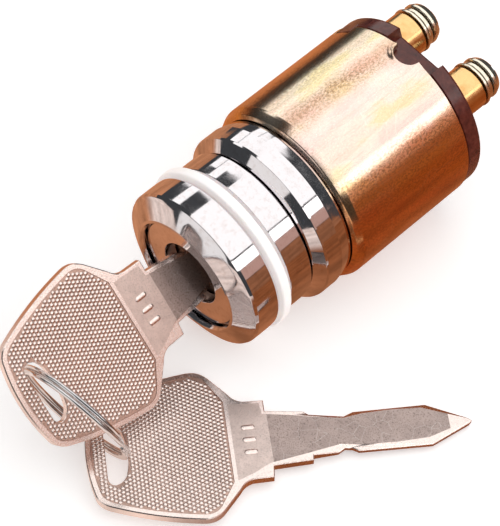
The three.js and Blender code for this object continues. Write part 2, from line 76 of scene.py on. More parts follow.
BEZEL_EDGE, BEZEL_REAR = 2.25, 6.85
BARREL_FACE, PLUG_FACE = 1.05, 3.6
WASHER_FRONT, WASHER_REAR = 7.15, 8.75
NUT_FRONT, NUT_REAR = 9.05, 14.35
FLANGE_FRONT, FLANGE_EDGE, FLANGE_BAND_REAR, FLANGE_FOOT = 14.65, 16.1, 19.4, 21.6
CAN_FRONT, CAN_REAR, BARREL_REAR = 21.9, 47.0, 26.3
BASE_FRONT, BASE_REAR, BOSS_REAR = 42.9, 50.2, 50.7
POST_FRONT = 50.5
FLAT_WASHER, LOCK_WASHER = (3.95, 0.55), (3.55, 0.7)    # radius and thickness
WASHER_BORE = 1.75
HALF_MOON_ANGLE, HALF_MOON_RADIUS = math.radians(84), 2.3
TAB_ANGLE, TAB_HALF, TAB_DEPTH = math.radians(134.5), 2.2, 1.85
COLLAR_FLATS = [(84, 13.2, 4.0), (-96, 13.2, 4.0)]      # angle, distance from the axis, half width

KEY_ANGLE = math.radians(133.6)             # the lock key's width direction, from +X towards +Z
KEY_THICK = 1.6
KNURL_PITCH, BUMP_RADIUS, BUMP_HEIGHT = 0.70, 0.355, 0.18
NECK_END = 0.2                              # the neck's dull metal ends here, past the shoulder
MILL_START, MILL_RUN, MILL_DEPTH = 6.0, 3.0, 0.36       # how the blade's edges thin towards the tip
MARKS = (2.2, 0.0, -2.2)                    # across the key: the raised bars on its neck
SPARE_HEADING, SPARE_TILT = math.radians(53.2), math.radians(2.15)
RING_RADIUS, RING_AXIAL, RING_RADIAL, RING_PITCH = 9.95, 0.74, 1.1, 0.8
RING_STEP, RING_STEP_RUN, RING_CLOSED = 0.44, 0.12, 0.985      # shares of the ring's two turns
RING_NORMAL = Vector((-0.1, 0.965, 0.241)).normalized()

COLOUR_A, COLOUR_B, COLOUR_RESULT = 6, 7, 2     # the colour sockets of a Mix node, by place

can_low, can_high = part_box("switch_can")
AXIS = Vector(((can_low.x + can_high.x) / 2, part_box("bezel_nut")[0].y, (can_low.z + can_high.z) / 2))
SWITCH = Matrix.Translation(AXIS) @ Matrix.Scale(MM, 4)


# ------------ camera
def add_camera():
    """A long lens from above, with the key end towards the camera, as in the photograph."""
    azimuth, elevation, distance = math.radians(45.69), math.radians(54.92), 406.1
    target = Vector((AXIS.x - 2.92 * MM, AXIS.y + 16.91 * MM, 0))
    towards = Vector((math.sin(azimuth) * math.cos(elevation),
                      -math.cos(azimuth) * math.cos(elevation), math.sin(elevation)))
    data = bpy.data.cameras.new("camera")
    data.sensor_fit = "HORIZONTAL"
    data.sensor_width = 36
    data.lens = 180
    data.clip_start, data.clip_end = 0.01, 20
    camera = bpy.data.objects.new("camera", data)
    camera.location = target + towards * distance * MM
    camera.rotation_euler = towards.to_track_quat("Z", "Y").to_euler()
    bpy.context.scene.collection.objects.link(camera)
    bpy.context.scene.camera = camera


# ------------ material nodes
def settle(node, values):
    """Sets a node's input sockets to fixed values."""
    for key, value in values.items():
        node.inputs[key].default_value = value


class Nodes:
    """A material and short ways to add texture and colour nodes to it."""

    def __init__(self, name):
        self.material = bpy.data.materials.new(name)
        self.material.use_nodes = True
        self.nodes = self.material.node_tree.nodes
        self.links = self.material.node_tree.links
        self.where = self.nodes.new("ShaderNodeTexCoord").outputs["Object"]

    def stretched(self, stretch, vector):
        """Coordinates drawn out by stretch."""
        mapping = self.nodes.new("ShaderNodeMapping")
        settle(mapping, {"Scale": [1 / s for s in stretch]})
        self.links.new(vector or self.where, mapping.inputs["Vector"])
        return mapping.outputs["Vector"]

    def noise(self, size, detail=3.0, stretch=(1, 1, 1), vector=None, roughness=0.55):
        """Noise with features of about that size in mm, drawn out by stretch."""
        where = self.stretched(stretch, vector)
        texture = self.nodes.new("ShaderNodeTexNoise")
        settle(texture, {"Scale": 1 / (size * MM), "Detail": detail, "Roughness": roughness})
        self.links.new(where, texture.inputs["Vector"])
        return texture.outputs["Fac"]

    def cracks(self, size, width, stretch=(1, 1, 1), vector=None):
        """Thin lines between cells: 1 on a line, 0 elsewhere."""
        where = self.stretched(stretch, vector)
        texture = self.nodes.new("ShaderNodeTexVoronoi")
        texture.feature = "DISTANCE_TO_EDGE"
        settle(texture, {"Scale": 1 / (size * MM)})
        self.links.new(where, texture.inputs["Vector"])
        return self.span(texture.outputs["Distance"], 0.0, width, 1.0, 0.0)

    def span(self, value, low, high, new_low, new_high, kind="LINEAR"):
        """value, taken from one range to another and held inside it."""
        node = self.nodes.new("ShaderNodeMapRange")
        node.interpolation_type = kind
        settle(node, {"From Min": low, "From Max": high, "To Min": new_low, "To Max": new_high})
        self.links.new(value, node.inputs["Value"])
        return node.outputs["Result"]

    def arith(self, operation, a, b):
        """One sum or product; a and b are sockets or numbers."""
        node = self.nodes.new("ShaderNodeMath")
        node.operation = operation
        for socket, value in zip(node.inputs, (a, b)):
            if isinstance(value, (int, float)):
                socket.default_value = value
            else:
                self.links.new(value, socket)
        return node.outputs["Value"]

    def ramp(self, value, *stops):
        """Colours along a value: each stop is (position, (r, g, b))."""
        node = self.nodes.new("ShaderNodeValToRGB")
        elements = node.color_ramp.elements
        while len(elements) < len(stops):
            elements.new(0.5)
        for element, (position, colour) in zip(elements, stops):
            element.position = position
            element.color = (*colour, 1)
        self.links.new(value, node.inputs["Fac"])
        return node.outputs["Color"]

    def grey_ramp(self, value, *stops):
        """Grey levels along a value: each stop is (position, level)."""
        return self.ramp(value, *[(position, (level, level, level)) for position, level in stops])

    def blend(self, amount, first, second, kind="MIX"):
        """A mix of two colours, each a socket or an (r, g, b)."""
        node = self.nodes.new("ShaderNodeMix")
        node.data_type = "RGBA"
        node.blend_type = kind
        if isinstance(amount, (int, float)):
            node.inputs["Factor"].default_value = amount
        else:
            self.links.new(amount, node.inputs["Factor"])
        for socket, value in ((node.inputs[COLOUR_A], first), (node.inputs[COLOUR_B], second)):
            if isinstance(value, tuple):
                socket.default_value = (*value, 1)
            else:
                self.links.new(value, socket)
        return node.outputs[COLOUR_RESULT]


# ------------ stage: floor, soft boxes, coloured cards, warm sheet
class Glow(Nodes):
    """A plain light-giving material. Its lamp node can be driven by a texture."""

    def __init__(self, name, colour, strength):
        super().__init__(name)
        self.nodes.remove(self.nodes["Principled BSDF"])
        self.lamp = self.nodes.new("ShaderNodeEmission")
        settle(self.lamp, {"Color": (*colour, 1), "Strength": strength})
        surface = self.nodes["Material Output"].inputs["Surface"]
        self.links.new(self.lamp.outputs["Emission"], surface)


def glow(name, colour, strength):
    return Glow(name, colour, strength).material


def mottled(name, colour, size):
    """A light-giving card with a soft cloudy tone, its clouds of about that size in mm."""
    card = Glow(name, colour, 1.0)
    tone = card.span(card.noise(size, 3, roughness=0.5), 0.35, 0.65, 0.72, 1.2)
    card.links.new(tone, card.lamp.inputs["Strength"])
    return card


def stage_object(name, vertices, faces, material, camera=False, glossy=True, diffuse=True, data=None):
    """A piece of the studio, in metres. Which rays see it is set here."""
    if data is None:
        data = bpy.data.meshes.new(name)
        data.from_pydata(vertices, [], faces)
    data.materials.append(material)
    made = bpy.data.objects.new(name, data)
    made.visible_camera = camera
    made.visible_glossy = glossy
    made.visible_diffuse = diffuse
    made.visible_shadow = camera and diffuse
    bpy.context.scene.collection.objects.link(made)
    return made


def arc_panel(name, start, end, low, high, radius, material, diffuse=True):
    """A card bent round the switch axis: angles in degrees from +X towards +Z, lengths in metres.

    low and high are its ends along the axis.
    """
    degrees_a_step = 8
    steps = max(2, round((end - start) / degrees_a_step))
    vertices = []
    for i in range(steps + 1):
        angle = math.radians(start + (end - start) * i / steps)
        for y in (low, high):
            vertices.append(AXIS + Vector((radius * math.cos(angle), y, radius * math.sin(angle))))
    faces = [(2 * i, 2 * i + 1, 2 * i + 3, 2 * i + 2) for i in range(steps)]
    return stage_object(name, vertices, faces, material, diffuse=diffuse)


def disc(radius, height, sides=64):
    """The corners and the one face of a flat disc under the object, in metres."""
    middle = Vector((AXIS.x, AXIS.y + 0.02))
    turns = [math.tau * i / sides for i in range(sides)]
    corners = [(middle.x + radius * math.cos(t), middle.y + radius * math.sin(t), height) for t in turns]
    return corners, [tuple(range(sides))]


def warm_sheet_material():
    """The copper-coloured sheet that the metal mirrors: darker towards +X, paler towards the front."""
    sheet = mottled("warm_sheet", (1, 1, 1), 10)
    split = sheet.nodes.new("ShaderNodeSeparateXYZ")
    sheet.links.new(sheet.where, split.inputs["Vector"])
    across = sheet.span(split.outputs["X"], 0.03, -0.05, 0, 1, "SMOOTHSTEP")
    forward = sheet.span(split.outputs["Y"], -0.027, -0.046, 0, 1, "SMOOTHSTEP")
    copper = sheet.ramp(across, (0, (0.30, 0.095, 0.035)), (1, (0.60, 0.26, 0.13)))
    tone = sheet.blend(forward, copper, (0.95, 0.78, 0.70))
    sheet.links.new(tone, sheet.lamp.inputs["Color"])
    return sheet.material


def floor_material():
    """A plain pale table with a little light of its own, so that it stays near white."""
    table = Recipe("floor", (0.86, 0.86, 0.86), 0.7)
    settle(table.shader, {"Specular IOR Level": 0.1, "Emission Color": (1, 1, 1, 1),
                          "Emission Strength": 0.46})
    return table.material


def add_cards():
    """The soft boxes and coloured cards that the chrome and the can mirror.

    A card's rays meet the chrome bands where its y is under about 0.25 m, and the can beyond that.
    """
    white = glow("soft_box", (1.0, 0.985, 0.975), 1.35)
    pane = glow("dark_pane", (0.5, 0.52, 0.56), 0.12)
    bright = glow("bright_box", (1.0, 0.97, 0.95), 2.0)
    blush = glow("blush_card", (0.58, 0.35, 0.29), 1.0)
    copper = mottled("copper_card", (0.32, 0.125, 0.06), 50).material
    amber = mottled("amber_card", (0.60, 0.26, 0.13), 50).material
    neutral = (white, pane, bright)     # the coloured cards show in reflections only
    for name, start, end, low, high, radius, material in (
            ("box_right", 27, 41.5, -0.30, 0.62, 0.55, bright),
            ("box_top", 43.5, 120, -0.30, 0.62, 0.55, white),
            ("blush_right", 12, 26.5, -0.10, 0.62, 0.56, blush),
            ("box_left", 143, 157, -0.05, 0.55, 0.55, white),
            ("pane_left", 122, 141, 0.0, 0.5, 0.60, pane),
            ("warm_right", -25, 11.5, -0.10, 0.62, 0.58, copper),
            ("warm_left", 179, 198, -0.10, 0.248, 0.50, amber),
            ("box_left_rear", 158, 171, 0.254, 0.62, 0.55, white),
            ("warm_left_rear", 191, 206, 0.254, 0.62, 0.50, amber),
            ("box_top_rear", 119, 144, 0.254, 0.62, 0.54, white)):
        arc_panel(name, start, end, low, high, radius, material, diffuse=material in neutral)
    left, right, ahead, bottom, top = -0.34, 0.02, -0.5, -0.2, 0.25
    corners = [(left, ahead, bottom), (right, ahead, bottom), (right, ahead, top), (left, ahead, top)]
    stage_object("front_card", corners, [(0, 1, 2, 3)], glow("front_card", (1.0, 0.97, 0.95), 1.0))


def add_backdrop():
    """A white ball round everything, which only the camera sees."""
    data = bpy.data.meshes.new("backdrop")
    ball = bmesh.new()
    bmesh.ops.create_uvsphere(ball, u_segments=48, v_segments=24, radius=3.2)
    ball.to_mesh(data)
    ball.free()
    backdrop = stage_object("backdrop", None, None, glow("backdrop", (1, 1, 1), 0.93), camera=True,
                            glossy=False, diffuse=False, data=data)
    backdrop.visible_transmission = False


def add_stage():
    scene = bpy.context.scene
    scene.view_settings.view_transform = "Standard"
    world = bpy.data.worlds.new("studio")
    world.use_nodes = True
    settle(world.node_tree.nodes["Background"], {"Color": (0.80, 0.84, 0.90, 1), "Strength": 0.07})
    scene.world = world

    corners, faces = disc(3.0, -0.0002)
    stage_object("floor", corners, faces, floor_material(), camera=True, glossy=False)
    corners, faces = disc(0.135, -0.0001)
    stage_object("warm_sheet", corners, faces, warm_sheet_material(), diffuse=False)
    add_cards()
    add_backdrop()


# ------------ mesh tools
def soften(outline, steps=4):
    """Rounds the corners of a closed outline of (radius, station) points.

    A third number in a point sets its rounding; otherwise it is EDGE.
    """
    rounded = []
    for i, corner in enumerate(outline):
        here = Vector(corner[:2])
        rounding = corner[2] if len(corner) > 2 else EDGE
        into = Vector(outline[i - 1][:2]) - here
        out = Vector(outline[(i + 1) % len(outline)][:2]) - here
        bend = into.angle(out)
        nearly_straight = bend > math.radians(175)
        if here.x < NOTHING or rounding == 0 or nearly_straight:
            rounded.append(here)
            continue
        reach = min(rounding / math.tan(bend / 2), 0.45 * min(into.length, out.length))
        first, last = here + into.normalized() * reach, here + out.normalized() * reach
        for k in range(steps + 1):
            t = k / steps
            rounded.append(first * (1 - t) ** 2 + here * (2 * t * (1 - t)) + last * t ** 2)
    return rounded


def turned(outline, sides=SIDES, angles=None, warp=None):
    """A closed outline turned round the switch axis.

    warp, if given, takes a point's radius, station and angle and says its new radius and station.
    """
    mesh = bmesh.new()
    angles = angles or [math.tau * i / sides for i in range(sides)]
    rings = []
    for radius, station in outline:
        if radius < NOTHING:
            rings.append([mesh.verts.new((0, station, 0))])
            continue
        ring = []
        for angle in angles:
            r, s = warp(radius, station, angle) if warp else (radius, station)
            ring.append(mesh.verts.new((r * math.cos(angle), s, r * math.sin(angle))))
        rings.append(ring)
    for i, ring in enumerate(rings):
        following = rings[(i + 1) % len(rings)]
        for j in range(len(angles)):
            k = (j + 1) % len(angles)
            corners = [ring[j % len(ring)], ring[k % len(ring)],
                       following[k % len(following)], following[j % len(following)]]
            unique = list(dict.fromkeys(corners))
            if len(unique) >= 3:
                mesh.faces.new(unique)
    return mesh


def bridge(mesh, a, b, metal=0):
    """Faces between two loops of the same length."""
    for k in range(len(a)):
        following = (k + 1) % len(a)
        mesh.faces.new((a[k], a[following], b[following], b[k])).material_index = metal


def spun(mesh, angle):
    """A mesh turned round the switch axis, from +X towards +Z."""
    bmesh.ops.rotate(mesh, cent=(0, 0, 0), matrix=Matrix.Rotation(-angle, 3, "Y"), verts=mesh.verts)
    return mesh


def box_mesh(x0, x1, y0, y1, z0, z1, rounding=0.0):
    """A box, with rounded edges if asked."""
    mesh = bmesh.new()
    bmesh.ops.create_cube(mesh, size=1)
    bmesh.ops.scale(mesh, vec=(x1 - x0, y1 - y0, z1 - z0), verts=mesh.verts)
    bmesh.ops.translate(mesh, vec=((x0 + x1) / 2, (y0 + y1) / 2, (z0 + z1) / 2), verts=mesh.verts)
    if rounding:
        bmesh.ops.bevel(mesh, geom=mesh.edges[:], offset=rounding, segments=3, affect="EDGES", profile=0.5)
    return mesh


def scratch_object(mesh):
    """A passing object that holds a bmesh for a boolean."""
    bmesh.ops.recalc_face_normals(mesh, faces=mesh.faces)
    data = bpy.data.meshes.new("passing")
    mesh.to_mesh(data)
    mesh.free()
    made = bpy.data.objects.new("passing", data)
    bpy.context.scene.collection.objects.link(made)
    return made


def combined(mesh, tools, operation="DIFFERENCE"):
    """mesh with every tool cut out of it, or joined to it."""
    target = scratch_object(mesh)
    others = [scratch_object(tool) for tool in tools]
    for other in others:
        step = target.modifiers.new("step", "BOOLEAN")
        step.operation = operation
        step.solver = "EXACT"
        step.object = other
    result = bmesh.new()
    result.from_object(target, bpy.context.evaluated_depsgraph_get())
    for passing in [target, *others]:
        bpy.data.objects.remove(passing)
    return result


def add_piece(node, mesh, place, body, slot, *materials):
    """Puts a finished mesh into the frame as the piece that stands for a CAD node."""
    bmesh.ops.recalc_face_normals(mesh, faces=mesh.faces)
    data = bpy.data.meshes.new(f"{node}_finished")
    mesh.to_mesh(data)
    mesh.free()
    data.transform(place)
    for each in materials:
        data.materials.append(each)
    data.shade_smooth()
    data.set_sharp_from_angle(angle=SHARP_ANGLE)
    made = bpy.data.objects.new(f"{node}_finished", data)
    bpy.context.scene.collection.objects.link(made)
    even = made.modifiers.new("even_normals", "WEIGHTED_NORMAL")
    even.keep_sharp = True
    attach(made, body)
    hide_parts(node)


def place_like(node, mesh, turn):
    """The matrix that turns a mesh (mm) and centres its box on a CAD node's box."""
    matrix = turn.to_4x4() @ Matrix.Scale(MM, 4)
    points = [matrix @ v.co for v in mesh.verts]
    middle = Vector([(min(p[i] for p in points) + max(p[i] for p in points)) / 2 for i in range(3)])
    low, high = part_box(node)
    return Matrix.Translation((low + high) / 2 - middle) @ matrix


# ------------ finishes
class Recipe(Nodes):
    """A Principled material."""

    def __init__(self, name, colour, roughness, metallic=0.0):
        super().__init__(name)
        self.shader = self.nodes["Principled BSDF"]
        settle(self.shader, {"Base Color": (*colour, 1), "Roughness": roughness, "Metallic": metallic})

    def colour(self, socket):
        self.links.new(socket, self.shader.inputs["Base Color"])

    def roughness(self, socket):
        self.links.new(socket, self.shader.inputs["Roughness"])

    def clouded(self, size, first, second, detail=3, most=1.0):
        """Lets the base colour drift between two colours, in clouds of about that size in mm."""
        self.colour(self.blend(self.span(self.noise(size, detail), 0.4, 0.7, 0, most), first, second))

    def bump(self, height, strength, depth):
        """Fine relief, depth in mm."""
        node = self.nodes.new("ShaderNodeBump")
        settle(node, {"Strength": strength, "Distance": depth * MM})
        self.links.new(height, node.inputs["Height"])
        self.links.new(node.outputs["Normal"], self.shader.inputs["Normal"])

    def around(self):
        """Coordinates unrolled round the switch axis (arc length, length along the axis), and the angle."""
        split = self.nodes.new("ShaderNodeSeparateXYZ")
        self.links.new(self.where, split.inputs["Vector"])
        x = self.arith("SUBTRACT", split.outputs["X"], AXIS.x)
        z = self.arith("SUBTRACT", split.outputs["Z"], AXIS.z)
        angle = self.arith("ARCTAN2", z, x)
        join = self.nodes.new("ShaderNodeCombineXYZ")
        self.links.new(self.arith("MULTIPLY", angle, CAN_RADIUS * MM), join.inputs["X"])
        self.links.new(split.outputs["Y"], join.inputs["Y"])
        return join.outputs["Vector"], angle


def chrome():
    """Bright plate with faint stains, polishing lines and shallow dents."""
    finish = Recipe("chrome", (0.755, 0.73, 0.745), 0.06, 1.0)
    finish.roughness(finish.span(finish.noise(2.4, 4), 0.35, 0.75, 0.035, 0.12))
    stains = finish.span(finish.noise(1.1, 5, roughness=0.7), 0.50, 0.72, 0.0, 0.45)
    finish.colour(finish.blend(stains, (0.76, 0.735, 0.75), (0.56, 0.47, 0.44)))
    unrolled, _ = finish.around()
    lines = finish.noise(0.35, 3, stretch=(8, 0.4, 1), vector=unrolled)
    dents = finish.noise(1.6, 2)
    finish.bump(finish.arith("ADD", finish.arith("MULTIPLY", lines, 0.12), dents), 0.07, 0.015)
    return finish.material


def chromate():
    """Yellow chromate on drawn steel, with painted reflections: colour bands round the can stand for the
    studio's reflections (orange low down, a pale highlight, brown and dark olive bands). Real pink and gold
    tinges, streaks, specks and scratches lie over them. The specks are made heavier in the dark bands as
    painted shade, and painted glints lie near the highlight.
    """
    finish = Recipe("yellow_chromate", (0.90, 0.72, 0.42), 0.3, 1.0)
    unrolled, angle = finish.around()
    turn = finish.span(angle, math.radians(-20), math.radians(160), 0.0, 1.0)
    wander = finish.arith("MULTIPLY", finish.arith("SUBTRACT", finish.noise(5.0, 3), 0.5), 0.07)
    turn = finish.arith("ADD", turn, wander)
    # painted reflections: the colour by angle round the axis copies the studio's reflections, orange below
    # about 40 degrees, a pale highlight near 50, brown near 95 and dark olive near 126 degrees
    base = finish.ramp(
        turn, (0.10, (0.92, 0.48, 0.20)), (0.33, (0.96, 0.56, 0.30)),
        (0.39, (1.0, 0.82, 0.75)), (0.45, (0.93, 0.72, 0.63)), (0.56, (0.94, 0.78, 0.72)),
        (0.64, (0.78, 0.56, 0.42)), (0.69, (0.93, 0.80, 0.66)), (0.76, (0.78, 0.70, 0.54)),
        (0.81, (0.34, 0.27, 0.16)), (0.86, (0.92, 0.58, 0.25)))
    broad = finish.noise(6.5, 3, stretch=(1, 2.5, 1), vector=unrolled)
    tinge = finish.ramp(
        broad, (0.38, (0.96, 0.93, 0.62)), (0.48, (1.0, 0.98, 0.92)), (0.60, (1.0, 0.84, 0.82)))
    base = finish.blend(0.85, base, tinge, "MULTIPLY")
    streaks = finish.noise(0.7, 5, stretch=(1, 14, 1), vector=unrolled, roughness=0.7)
    base = finish.blend(finish.span(streaks, 0.50, 0.75, 0.0, 0.28), base, (0.50, 0.30, 0.14))
    specks = finish.noise(0.30, 4, stretch=(1, 1.8, 1), vector=unrolled, roughness=0.75)
    patches = finish.noise(3.4, 3, stretch=(1, 3.5, 1), vector=unrolled)
    # where the specks show: real specks, made heavier by angle in the bands where the painted reflection is
    # dark, so partly painted shade
    speck_and_shade_bands = finish.grey_ramp(
        turn, (0.26, 0.45), (0.34, 0.85), (0.40, 0.08), (0.58, 0.08), (0.635, 1.0),
        (0.68, 0.12), (0.75, 0.35), (0.79, 1.0), (0.83, 1.0), (0.87, 0.15))
    specks_and_painted_shade = finish.arith("MULTIPLY", finish.span(specks, 0.46, 0.56, 0.0, 1.0),
                         finish.arith("MULTIPLY", finish.span(patches, 0.34, 0.56, 0.45, 1.0), speck_and_shade_bands))
    base = finish.blend(specks_and_painted_shade, base, (0.30, 0.16, 0.07))
    # painted glints: bright specks only near the painted highlight, about 34 to 70 degrees round the axis
    painted_glints = finish.span(finish.noise(0.24, 3, vector=unrolled, roughness=0.8), 0.60, 0.66, 0.0, 0.8)
    painted_glints = finish.arith("MULTIPLY", painted_glints, finish.span(turn, 0.3, 0.5, 0.0, 1.0))
    base = finish.blend(painted_glints, base, (1.0, 0.97, 0.90))
    scratches = finish.cracks(3.6, 0.010, stretch=(1, 2.6, 1), vector=unrolled)
    base = finish.blend(finish.arith("MULTIPLY", scratches, 0.25), base, (1.0, 0.92, 0.80))
    finish.colour(base)
    finish.roughness(finish.span(specks, 0.35, 0.7, 0.13, 0.27))
    streak_relief = finish.arith("MULTIPLY", streaks, 0.5)
    speck_relief = finish.arith("MULTIPLY", specks, speck_and_shade_bands)
    finish.bump(finish.arith("ADD", streak_relief, speck_relief), 0.25, 0.02)
    return finish.material


def shaded(colour, factor):
    return tuple(c * factor for c in colour)


def nickel(name, colour, rough, grain_size, grain, dark, scratched=0.25):
    """Warm nickel plate: fine pits and short scratches over a cloudy tone.

    grain_size is in mm; grain, dark and scratched are how strongly pits, clouds and scratches show.
    """
    finish = Recipe(name, colour, rough, 1.0)
    cloud = finish.noise(3.0, 4)
    base = finish.blend(finish.span(cloud, 0.35, 0.7, 0.0, 0.6), colour, shaded(colour, 1 - dark))
    pits = finish.noise(grain_size, 4, roughness=0.7)
    base = finish.blend(finish.span(pits, 0.52, 0.68, 0.0, grain), base, shaded(colour, 0.35))
    where_scratched = finish.span(cloud, 0.42, 0.55, 0.0, scratched)
    scratches = finish.arith("MULTIPLY", finish.cracks(2.3, 0.016), where_scratched)
    base = finish.blend(scratches, base, (1.0, 0.95, 0.92))
    finish.colour(base)
    finish.roughness(finish.span(pits, 0.35, 0.7, rough * 0.75, rough * 1.35))
    lines = finish.cracks(1.8, 0.02)
    finish.bump(finish.arith("ADD", pits, finish.arith("MULTIPLY", lines, 0.5)), 0.4 * grain + 0.05, 0.03)
    return finish.material


def brass(name="turned_brass", colour=(0.90, 0.58, 0.26), rough=0.18):
    """Turned brass or copper with tarnish and fine tool rings."""
    finish = Recipe(name, colour, rough, 1.0)
    tarnish = finish.noise(2.2, 4)
    deep = tuple(c * f for c, f in zip(colour, (0.72, 0.58, 0.42)))
    finish.colour(finish.blend(finish.span(tarnish, 0.45, 0.75, 0.0, 0.7), colour, deep))
    rings = finish.noise(0.22, 3, stretch=(6, 0.5, 6))
    finish.roughness(finish.span(rings, 0.3, 0.7, rough * 0.7, rough * 1.5))
    finish.bump(rings, 0.15, 0.015)
    return finish.material


def steel(name, colour, rough):
    """Plain or plated steel with a cloudy tone."""
    finish = Recipe(name, colour, rough, 1.0)
    finish.clouded(1.5, colour, shaded(colour, 0.6), 4, 0.5)
    finish.roughness(finish.span(finish.noise(0.4, 4), 0.35, 0.7, rough * 0.7, rough * 1.4))
    finish.bump(finish.noise(0.3, 3), 0.1, 0.01)
    return finish.material


def nylon():
    """Milky white nylon with a little light of its own, so that it stays near white."""
    finish = Recipe("nylon", (0.95, 0.92, 0.91), 0.38)
    settle(finish.shader, {
        "Emission Color": (1.0, 0.93, 0.91, 1), "Emission Strength": 0.32, "Subsurface Weight": 0.35,
        "Subsurface Radius": (0.003, 0.0022, 0.0018), "Subsurface Scale": 0.5})
    finish.clouded(2.5, (0.97, 0.94, 0.93), (0.92, 0.88, 0.87))
    finish.roughness(finish.span(finish.noise(0.5, 3), 0.3, 0.7, 0.3, 0.5))
    finish.bump(finish.noise(0.35, 4), 0.12, 0.02)
    return finish.material


def bakelite():
    """Glossy dark red-brown moulding with a faint flow mottle."""
    finish = Recipe("bakelite", (0.07, 0.017, 0.013), 0.22)
    mottle = finish.noise(1.3, 5, roughness=0.65)
    finish.colour(finish.ramp(mottle, (0.3, (0.055, 0.010, 0.008)), (0.55, (0.115, 0.022, 0.016)),
                              (0.75, (0.17, 0.042, 0.028))))
    finish.roughness(finish.span(finish.noise(0.5, 4), 0.3, 0.7, 0.12, 0.26))
    finish.bump(finish.noise(0.8, 3), 0.08, 0.02)
    return finish.material


def rotor_plastic():
    """Cream-coloured moulding."""
    finish = Recipe("rotor_plastic", (0.77, 0.72, 0.62), 0.45)
    finish.clouded(2.0, (0.80, 0.75, 0.66), (0.70, 0.64, 0.53))
    finish.bump(finish.noise(0.4, 3), 0.1, 0.02)
    return finish.material


# ------------ front stack
def bezel_nut():
    """The front nut: a bevelled lip, a shallow cone face and a barely crowned band."""
    lip, hole = 9.75, THREAD_RADIUS + FIT
    return turned(soften([
        (lip, BARREL_FACE - FIT), (lip, 0.42, 0.2), (10.1, 0.0, 0.14), (10.55, 0.05, 0.1),
        (13.15, 1.33, 0.8), (13.85, 1.75, 0.25), (BEZEL_RADIUS - CROWN, BEZEL_EDGE, 0.1),
        (BEZEL_RADIUS, 3.6, 6), (BEZEL_RADIUS, 5.2, 6), (BEZEL_RADIUS - CROWN, 6.35, 0.1),
        (13.89, BEZEL_REAR, 0.05), (hole, BEZEL_REAR), (hole, BARREL_FACE - FIT),
    ], 6))


def lock_barrel():
    """Threaded nose, panel flange and the sleeve inside the can, bored for the key plug."""
    thread = []
    station = BARREL_FACE + 1.6
    while station < FLANGE_FRONT - 0.8:
        root = (THREAD_RADIUS - THREAD_DEPTH, station + THREAD_PITCH / 2, 0.03)
        thread += [(THREAD_RADIUS, station, 0.03), root]
        station += THREAD_PITCH
    return turned(soften([
        (KEY_HOLE_RADIUS, BARREL_FACE, 0.18), (9.45, BARREL_FACE, 0.2), (10.2, BARREL_FACE + 0.5, 0.1),
        (THREAD_RADIUS, BARREL_FACE + 1.0), *thread, (THREAD_RADIUS - 0.2, FLANGE_FRONT),
        (13.2, FLANGE_FRONT, 0.3), (FLANGE_RADIUS - 0.12, FLANGE_EDGE - 0.1, 0.15),
        (FLANGE_RADIUS, FLANGE_EDGE + 0.25, 0.3), (FLANGE_RADIUS, FLANGE_BAND_REAR - 0.2, 0.3),
        (15.02, FLANGE_BAND_REAR + 0.35, 0.6), (14.75, FLANGE_FOOT - 0.55, 0.6),
        (VALLEY_RADIUS, FLANGE_FOOT), (SLEEVE_RADIUS, FLANGE_FOOT), (SLEEVE_RADIUS, BARREL_REAR),
        (POCKET_OUTER, BARREL_REAR), (POCKET_OUTER, POCKET_FLOOR), (POCKET_INNER, POCKET_FLOOR),
        (POCKET_INNER, BARREL_REAR), (BORE_RADIUS, BARREL_REAR), (BORE_RADIUS, RELIEF_REAR),
        (RELIEF_RADIUS, RELIEF_REAR), (RELIEF_RADIUS, RELIEF_FRONT), (BORE_RADIUS, RELIEF_FRONT),
        (BORE_RADIUS, PLUG_FACE - FIT), (KEY_HOLE_RADIUS, PLUG_FACE - FIT),
    ]))


def panel_washer():
    """The nylon washer behind the bezel."""
    hole = THREAD_RADIUS + FIT
    return turned(soften([
        (hole, WASHER_FRONT), (WASHER_RADIUS, WASHER_FRONT, 0.35), (WASHER_RADIUS, WASHER_REAR, 0.3),
        (hole, WASHER_REAR),
    ], 6))


def back_nut():
    """The second chromed band, with a chamfer in front."""
    hole = THREAD_RADIUS + FIT
    return turned(soften([
        (hole, NUT_FRONT), (NUT_RADIUS - 0.75, NUT_FRONT, 0.1),
        (NUT_RADIUS - CROWN, NUT_FRONT + 0.65, 0.25),
        (NUT_RADIUS, NUT_FRONT + 2.0, 6), (NUT_RADIUS, NUT_REAR - 1.8, 6),
        (NUT_RADIUS - CROWN, NUT_REAR - 0.4, 0.1), (NUT_RADIUS - 0.45, NUT_REAR, 0.06), (hole, NUT_REAR),
    ], 6))


def angle_gap(angle, centre):
    """Signed difference of two angles, from -pi to pi."""
    return (angle - centre + math.pi) % math.tau - math.pi


def even_angles():
    return [math.tau * i / CAN_SIDES for i in range(CAN_SIDES)]


def can_angles():
    """Even angles, with more of them at the rim's two notches."""
    angles = even_angles()
    moon = math.asin(HALF_MOON_RADIUS / CAN_RADIUS) * 1.02
    extra = [HALF_MOON_ANGLE + moon * math.sin(math.pi * k / 24) for k in range(-12, 13)]
    half = TAB_HALF / CAN_RADIUS
    extra += [TAB_ANGLE + side * (half + step) for side in (-1, 1) for step in (-0.002, 0.0, 0.002)]
    kept = [a for a in angles if abs(angle_gap(a, HALF_MOON_ANGLE)) > moon + 0.01
            and abs(abs(angle_gap(a, TAB_ANGLE)) - half) > 0.012]
    return sorted(kept + extra)


